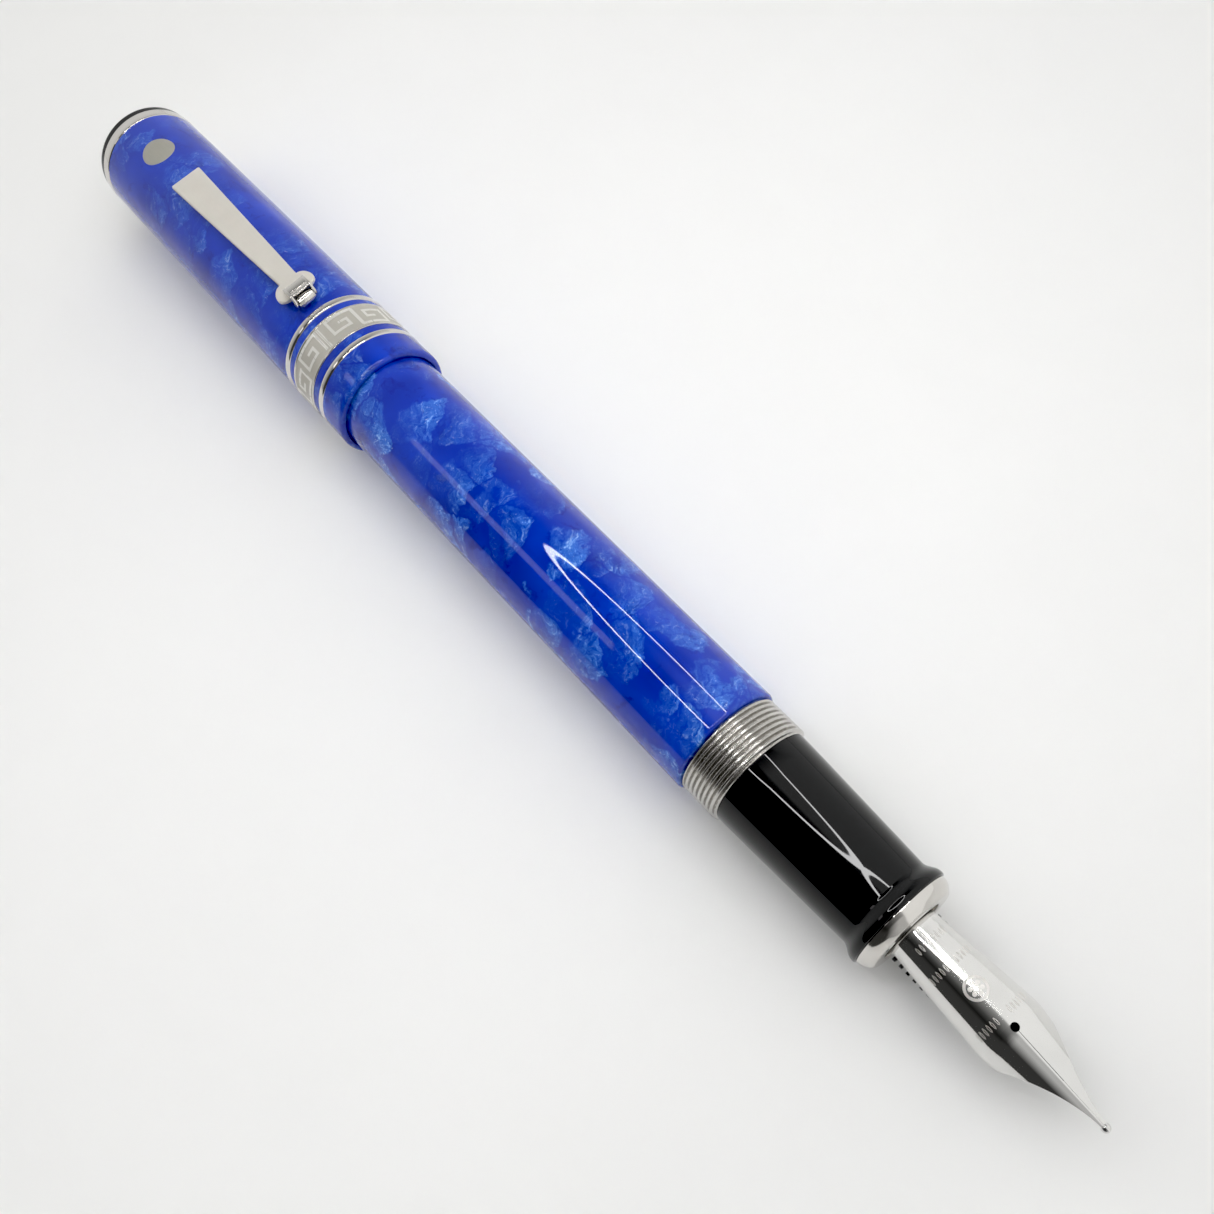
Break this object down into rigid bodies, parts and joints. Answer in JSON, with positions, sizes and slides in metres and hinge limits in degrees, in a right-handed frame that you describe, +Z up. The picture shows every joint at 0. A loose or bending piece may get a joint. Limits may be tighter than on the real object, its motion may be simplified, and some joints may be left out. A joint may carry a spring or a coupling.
{
  "type": "fountain pen",
  "caption": "Oversize flat-top fountain pen in marbled blue resin with silver-coloured trim, a roller clip and a key-pattern cap band, uncapped with the cap posted on the barrel.",
  "frame": {"origin": "on the pen's axis, at the middle of the barrel length that shows between the posted cap and the cap threads", "axes": "+X along the pen towards the nib, +Z up through the clip and the top of the nib, +Y to the left of the nib"},
  "size_m": [0.1859, 0.0164, 0.0187],
  "materials": {
    "marbled_resin": "polished, ultramarine marbled with pearly lighter flakes",
    "black_resin": "polished black",
    "black_plastic": "moulded, semi-matt",
    "polished_metal": "polished",
    "etched_metal": "polished key pattern on an etched ground",
    "satin_metal": "satin",
    "nib_metal": "polished with fine engraving",
    "seal_rubber": "soft",
    "clear_plastic": "clear",
    "white_plastic": "moulded"
  },
  "bodies": {
    "barrel": {"barrel": "marbled_resin", "cap_thread_sleeve": "polished_metal"},
    "seal": {"section_seal_ring": "seal_rubber"},
    "section": {"section_nipple": "polished_metal", "section_grip": "black_resin", "section_trim_ring": "polished_metal", "nib_housing": "black_plastic", "feed": "black_plastic", "nib": "nib_metal", "nib_tipping": "nib_metal"},
    "converter": {"converter_tube": "clear_plastic", "converter_collar": "polished_metal"},
    "knob": {"converter_knob": "black_plastic", "converter_screw": "satin_metal"},
    "piston": {"piston_rod": "white_plastic", "piston_seal": "seal_rubber"},
    "cap": {"inner_cap": "black_plastic", "cap_shell": "marbled_resin", "cap_finial": "black_resin", "finial_ring": "polished_metal", "seal_disc": "polished_metal", "clip_anchor": "satin_metal", "upper_cap_ring": "polished_metal", "middle_cap_band": "etched_metal", "lower_cap_ring": "polished_metal"},
    "clip": {"clip_blade": "satin_metal", "clip_roller_pin": "satin_metal"},
    "roller": {"clip_roller": "polished_metal"}
  },
  "joints": [
    {"name": "cap_slide", "type": "slide", "parent": "barrel", "child": "cap", "axis": [-1, 0, 0], "range_m": [0, 0.03]},
    {"name": "section_travel", "type": "slide", "parent": "barrel", "child": "seal", "axis": [1, 0, 0], "range_m": [0, 0.006]},
    {"name": "section_turn", "type": "hinge", "parent": "seal", "child": "section", "pos_m": [0.0328, 0, 0], "axis": [1, 0, 0], "range_deg": [0, 2160]},
    {"name": "converter_pull", "type": "slide", "parent": "section", "child": "converter", "axis": [-1, 0, 0], "range_m": [0, 0.008]},
    {"name": "knob_turn", "type": "hinge", "parent": "converter", "child": "knob", "pos_m": [-0.0222, 0, 0], "axis": [1, 0, 0], "range_deg": [0, 2160]},
    {"name": "piston_travel", "type": "slide", "parent": "converter", "child": "piston", "axis": [-1, 0, 0], "range_m": [0, 0.018]},
    {"name": "clip_flex", "type": "hinge", "parent": "cap", "child": "clip", "pos_m": [-0.0799, 0, 0.0084], "axis": [0, -1, 0], "range_deg": [0, 4], "stiffness_Nm_per_rad": 1},
    {"name": "roller_spin", "type": "hinge", "parent": "clip", "child": "roller", "pos_m": [-0.0482, 0, 0.00912], "axis": [0, 1, 0], "continuous": true}
  ],
  "couplings": [
    {"joint": "section_turn", "follows": "section_travel", "rad_per_m": 6283.1},
    {"joint": "knob_turn", "follows": "piston_travel", "rad_per_m": 2094.4}
  ]
}
